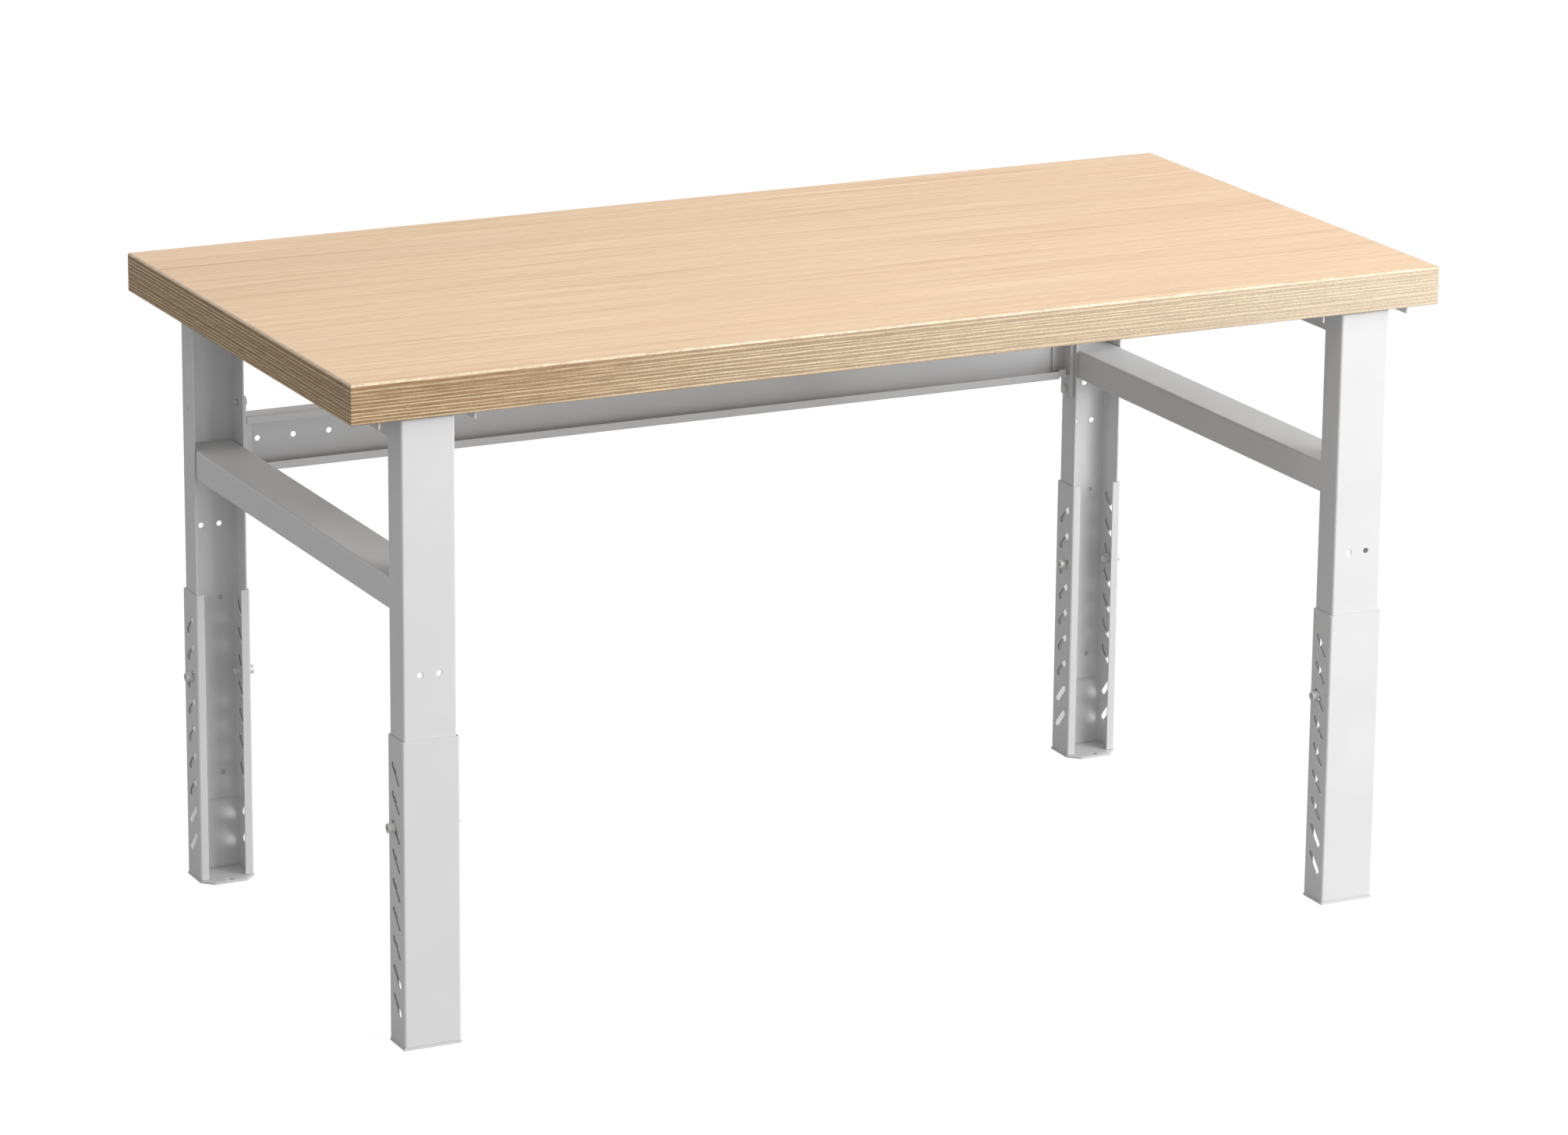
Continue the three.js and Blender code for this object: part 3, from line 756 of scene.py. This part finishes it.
def build_crossbar(side):
    node = f"crossbar_{side}"
    low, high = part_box(node)
    half_width, half_height = (high.x - low.x) / 2, (high.z - low.z) / 2
    half_length = (high.y - low.y) / 2
    outer = rounded_rectangle(half_width, half_height, CROSSBAR_BEND)
    inner = rounded_rectangle(half_width - SHEET, half_height - SHEET, CROSSBAR_BEND - SHEET)
    tube = prism(outer, -half_length, half_length, ALONG_Y)
    bore = prism(inner, -2 * half_length, 2 * half_length, ALONG_Y)
    put(node, sheet_metal(tube, [bore]), PAINT, Matrix.Translation(middle(node)))


def downward_channel(low, high):
    """A channel along Y that fills the box, with its open side down."""
    section = bent_sheet([(high.x, low.z), (high.x, high.z), (low.x, high.z), (low.x, low.z)],
                         TOP_SHEET, TOP_BEND)
    return prism(section, -high.y, -low.y, ALONG_Y)


def build_top_plate(side):
    node = f"top_plate_{side}"
    low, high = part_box(node)
    screws = [middle(f"top_screw_{side}_{number}") for number in range(1, SCREWS_PER_SIDE + 1)]
    holes = [prism(circle(c.x, c.y, SCREW_HOLE), low.z, high.z + SHEET) for c in screws]
    put(node, sheet_metal(downward_channel(low, high), holes), PAINT)


def build_top_rail(side):
    node = f"top_rail_{side}"
    put(node, sheet_metal(downward_channel(*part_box(node))), PAINT)


# ---------------------------------------------------------------- the rear beam


def build_beam():
    low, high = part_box("rear_beam")
    lip = BEAM["lip"]
    section = bent_sheet(
        [(low.y, low.z + lip), (low.y, low.z), (high.y, low.z), (high.y, high.z), (low.y, high.z),
         (low.y, high.z - lip)], SHEET, BEAM["bend"],
    )
    cuts = []
    for end, sign in ((low.x, 1), (high.x, -1)):
        x0, x1 = sorted((end - sign * SHEET, end + sign * BEAM["notch"]))
        cuts.append(block((x0, low.y - SHEET, low.z - SHEET),
                          (x1, high.y - BEAM["bend"], low.z + lip + SHEET)))
    centre = (low.z + high.z) / 2
    for i in range(BEAM_HOLES["count"]):
        x = low.x + BEAM_HOLES["from_left_end"] + i * BEAM_HOLES["pitch"]
        cuts.append(drill(lambda grow: circle(x, centre, BEAM_HOLES["diameter"] + 2 * grow),
                          -high.y, -high.y + SHEET, ALONG_Y))
    put("rear_beam", sheet_metal(prism(section, low.x, high.x, ALONG_X), cuts), PAINT)


def build_bracket(side):
    """Drawn for the right end, and mirrored for the left."""
    node = f"beam_bracket_{side}"
    low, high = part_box("beam_bracket_right")
    face = high.x - BRACKET["offset"]
    section = bent_sheet([(high.x, high.y), (face, high.y), (face, low.y), (high.x, low.y)],
                         SHEET, BRACKET["bend"])
    plate = prism(section, low.z, high.z)
    bolts = [middle(f"bracket_bolt_right_{level}") for level in LEVELS]
    cuts = [prism(circle(bolt.y, bolt.z, BRACKET["hole"]), face - SHEET, face + 2 * SHEET, ALONG_X)
            for bolt in bolts]
    result = sheet_metal(plate, cuts, bracket_arm(low.x, face))
    if side == "left":
        result.transform(MIRROR_X)
        result.flip_normals()
    put(node, result, PAINT)


def bracket_arm(tip, face):
    """A short C inside the beam's end, with a lip that hooks behind the beam's own lip."""
    low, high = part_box("rear_beam")
    inset = Vector((0, 1, 1)) * (SHEET + BRACKET["arm_play"])
    low, high = low + inset, high - inset
    root = face + SHEET / 2
    section = bent_sheet([(low.y, low.z), (high.y, low.z), (high.y, high.z), (low.y, high.z)],
                         SHEET, BRACKET["bend"])
    hook = block((tip, low.y, low.z),
                 (face - BRACKET["lip_relief"], low.y + SHEET, low.z + BRACKET["lip"]))
    return [prism(section, tip, root, ALONG_X), hook]


# ---------------------------------------------------------------- the worktop

ON_TOP, ON_SIDE, ON_ARRIS, BELOW = range(4)  # the worktop's material slots


def build_worktop():
    low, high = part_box("worktop")
    centre, half = (low + high) / 2, (high - low) / 2
    quarter = math.pi / 2
    under, upper = WORKTOP_ROUND["other"], WORKTOP_ROUND["top"]
    levels = [(under - x, low.z + under + y)
              for x, y in arc(0, 0, under, -quarter, 0, WORKTOP_ROUND_STEPS)]
    levels += [(upper - x, high.z - upper + y)
               for x, y in arc(0, 0, upper, 0, quarter, WORKTOP_ROUND_STEPS)]
    loops = [[(centre.x + x, centre.y + y, z)
              for x, y in rounded_rectangle(half.x - inset, half.y - inset, WORKTOP_ROUND["other"])]
             for inset, z in levels]
    piece = put("worktop", stack(loops), WOOD_FACE)
    for extra in (WOOD_EDGE, WOOD_ARRIS, WOOD_BACK):
        piece.data.materials.append(extra)
    for face in piece.data.polygons:
        face.material_index = worktop_slot(face.normal.z)
    piece.modifiers.new("shading", "WEIGHTED_NORMAL").weight = 100


def worktop_slot(rise):
    """The material slot of a face of the worktop, from how far its normal points up."""
    level, slanted = 0.999, 0.1
    if rise > level:
        return ON_TOP
    if rise > slanted:
        return ON_ARRIS
    return BELOW if rise < -level else ON_SIDE


# ---------------------------------------------------------------- camera, light and floor

# The camera stands in front of the bench and to its left, and looks down on it.
CAMERA = {"place": (-3.3924, -6.8748, 2.6403), "yaw": 0.459, "pitch": -0.2801, "roll": 0.0092,
          "lens": 141.27}

# name, place, target, size across and up, power in watts
LIGHTS = (
    ("key", (4.6, -4.6, 1.7), (0.2, 0, 0.5), (3.0, 3.4), 198),
    ("upper", (3.0, -4.8, 3.6), (0.2, 0, 0.6), (2.5, 2.5), 82),
    ("strip", (3.0, -4.8, 3.6), (0.2, 0, 0.6), (2.4, 0.3), 60),
    ("side", (4.5, 1.8, 2.1), (0.4, 0, 0.6), (2.0, 1.6), 90),
    ("front", (-1.5, -7.0, 1.2), (0.0, 0, 0.5), (4.0, 2.0), 15),
    ("overhead", (0.5, -1.6, 3.4), (0.3, -0.1, 0.8), (2.5, 1.5), 24),
)
SKY = 0.63
FLOOR_BOUNCE = 0.4
FLOOR_GLOW = 0.95  # what the camera sees of it where no light falls
FLOOR_SHADED = 0.08  # its dull share, which takes the shadow
FLOOR_GAP = 0.1 * MM  # keeps it clear of the undersides of the feet


def build_camera():
    yaw, pitch, roll = CAMERA["yaw"], CAMERA["pitch"], CAMERA["roll"]
    forward = Vector((math.sin(yaw) * math.cos(pitch), math.cos(yaw) * math.cos(pitch), math.sin(pitch)))
    right = Vector((math.cos(yaw), -math.sin(yaw), 0))
    up = right.cross(forward)
    tilted_right = right * math.cos(roll) + up * math.sin(roll)
    tilted_up = up * math.cos(roll) - right * math.sin(roll)
    axes = Matrix((tilted_right, tilted_up, -forward)).transposed().to_4x4()
    data = bpy.data.cameras.new("camera")
    data.lens = CAMERA["lens"]
    data.clip_end = 200
    camera = bpy.data.objects.new("camera", data)
    camera.matrix_world = Matrix.Translation(CAMERA["place"]) @ axes
    bpy.context.scene.collection.objects.link(camera)
    bpy.context.scene.camera = camera


def softbox(name, place, target, size, power):
    data = bpy.data.lights.new(name, "AREA")
    data.shape = "RECTANGLE"
    data.size, data.size_y = size
    data.energy = power
    light = bpy.data.objects.new(name, data)
    direction = Vector(target) - Vector(place)
    light.rotation_euler = direction.to_track_quat("-Z", "Y").to_euler()
    light.location = place
    bpy.context.scene.collection.objects.link(light)


def seen_and_met(tree, seen, met, output):
    """Shows one shader to the camera, and lets all other rays meet the other."""
    path = add(tree, "LightPath", {})
    both = add(tree, "MixShader", {0: path.outputs["Is Camera Ray"], 1: met, 2: seen})
    tree.links.new(both.outputs[0], tree.nodes[output].inputs["Surface"])


def build_world():
    """Even light from all round, and plain white where the camera sees past the floor."""
    world = bpy.data.worlds.new("studio")
    world.use_nodes = True
    bpy.context.scene.world = world
    tree = world.node_tree
    sky = tree.nodes["Background"]
    sky.inputs["Color"].default_value = (1, 1, 1, 1)
    sky.inputs["Strength"].default_value = SKY
    white = add(tree, "Background", {"Color": (1, 1, 1, 1), "Strength": 1.0})
    seen_and_met(tree, white.outputs[0], sky.outputs[0], "World Output")


def build_floor():
    """A seamless white sweep. It glows to the camera, so it takes only a faint shadow."""
    bm = bmesh.new()
    bmesh.ops.create_grid(bm, x_segments=1, y_segments=1, size=60)
    mesh = bpy.data.meshes.new("floor")
    bm.to_mesh(mesh)
    bm.free()
    material, tree, shader = new_material("white_sweep")
    shader.inputs["Base Color"].default_value = (FLOOR_BOUNCE, FLOOR_BOUNCE, FLOOR_BOUNCE, 1)
    shader.inputs["Roughness"].default_value = 1.0
    shader.inputs["Specular IOR Level"].default_value = 0.0
    glow = add(tree, "Emission", {"Color": (1, 1, 1, 1), "Strength": FLOOR_GLOW})
    dull = add(tree, "BsdfDiffuse", {"Color": (FLOOR_SHADED, FLOOR_SHADED, FLOOR_SHADED, 1)})
    lit = add(tree, "AddShader", {0: glow.outputs[0], 1: dull.outputs[0]})
    seen_and_met(tree, lit.outputs[0], shader.outputs[0], "Material Output")
    mesh.materials.append(material)
    floor = bpy.data.objects.new("floor", mesh)
    floor.location.z = -FLOOR_GAP
    bpy.context.scene.collection.objects.link(floor)


def build_stage():
    build_camera()
    build_world()
    build_floor()
    for light in LIGHTS:
        softbox(*light)
    bpy.context.scene.view_settings.view_transform = "Standard"


# ---------------------------------------------------------------- the whole bench

build_stage()
build_worktop()
build_legs()
build_clamps()
for bench_side in SIDES:
    build_crossbar(bench_side)
    build_top_plate(bench_side)
    build_top_rail(bench_side)
    build_bracket(bench_side)
build_top_screws()
build_beam()
build_bracket_bolts()
